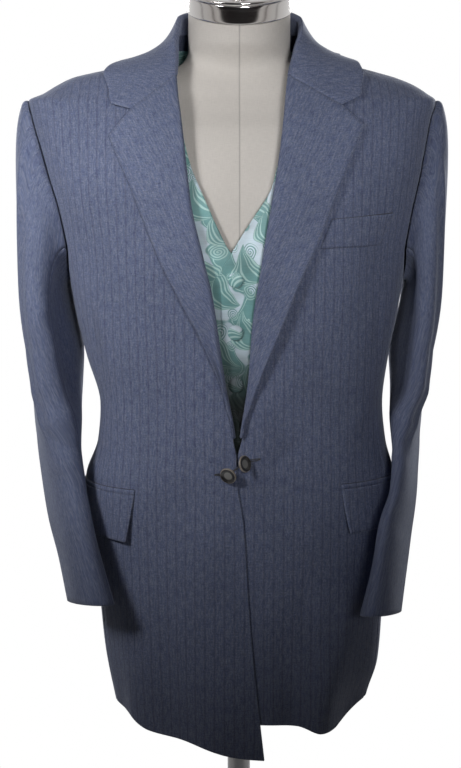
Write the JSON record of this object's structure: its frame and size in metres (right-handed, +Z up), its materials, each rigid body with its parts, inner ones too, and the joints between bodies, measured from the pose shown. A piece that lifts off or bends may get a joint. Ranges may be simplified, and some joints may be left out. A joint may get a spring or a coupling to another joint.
{
  "type": "saddle seat suit on a dress form",
  "caption": "Long tailored riding coat with notched lapels and link closure over a buttoned waistcoat, on a limbless linen dress form with a pole and round base.",
  "frame": {"origin": "middle of the underside of the stand's base, on the floor", "axes": "+Z up along the pole, -Y out of the suit's front, +X towards the wearer's left"},
  "size_m": [0.517, 0.3501, 1.5814],
  "materials": {
    "coat_cloth": "blue-grey worsted with a fine weave and dark pinstripes",
    "vest_cloth": "mint and white satin jacquard",
    "form_linen": "tight warm-grey linen",
    "neck_chrome": "polished",
    "stand_paint": "satin grey",
    "button_horn": "polished dark horn",
    "link_thread": "waxed thread"
  },
  "bodies": {
    "root": {"front_right": "coat_cloth", "front_left": "coat_cloth", "side_panel_right": "coat_cloth", "side_panel_left": "coat_cloth", "back_right": "coat_cloth", "back_left": "coat_cloth", "lapel_right": "coat_cloth", "lapel_left": "coat_cloth", "collar": "coat_cloth", "sleeve_upper_right": "coat_cloth", "sleeve_under_right": "coat_cloth", "sleeve_upper_left": "coat_cloth", "sleeve_under_left": "coat_cloth", "flap_right": "coat_cloth", "flap_left": "coat_cloth", "jet_right": "coat_cloth", "jet_left": "coat_cloth", "breast_welt": "coat_cloth", "vest_front_right": "vest_cloth", "vest_front_left": "vest_cloth", "vest_back_right": "vest_cloth", "vest_back_left": "vest_cloth", "vest_button_1": "vest_cloth", "vest_button_2": "vest_cloth", "vest_button_3": "vest_cloth", "vest_button_4": "vest_cloth", "vest_button_5": "vest_cloth", "link_button_right": "button_horn", "link_button_left": "button_horn", "closure_link": "link_thread", "form_torso": "form_linen", "neck_band": "neck_chrome", "cap_disc": "neck_chrome", "cap_knob": "neck_chrome", "stand_pole": "stand_paint", "stand_socket": "stand_paint", "stand_base": "stand_paint"}
  },
  "joints": []
}
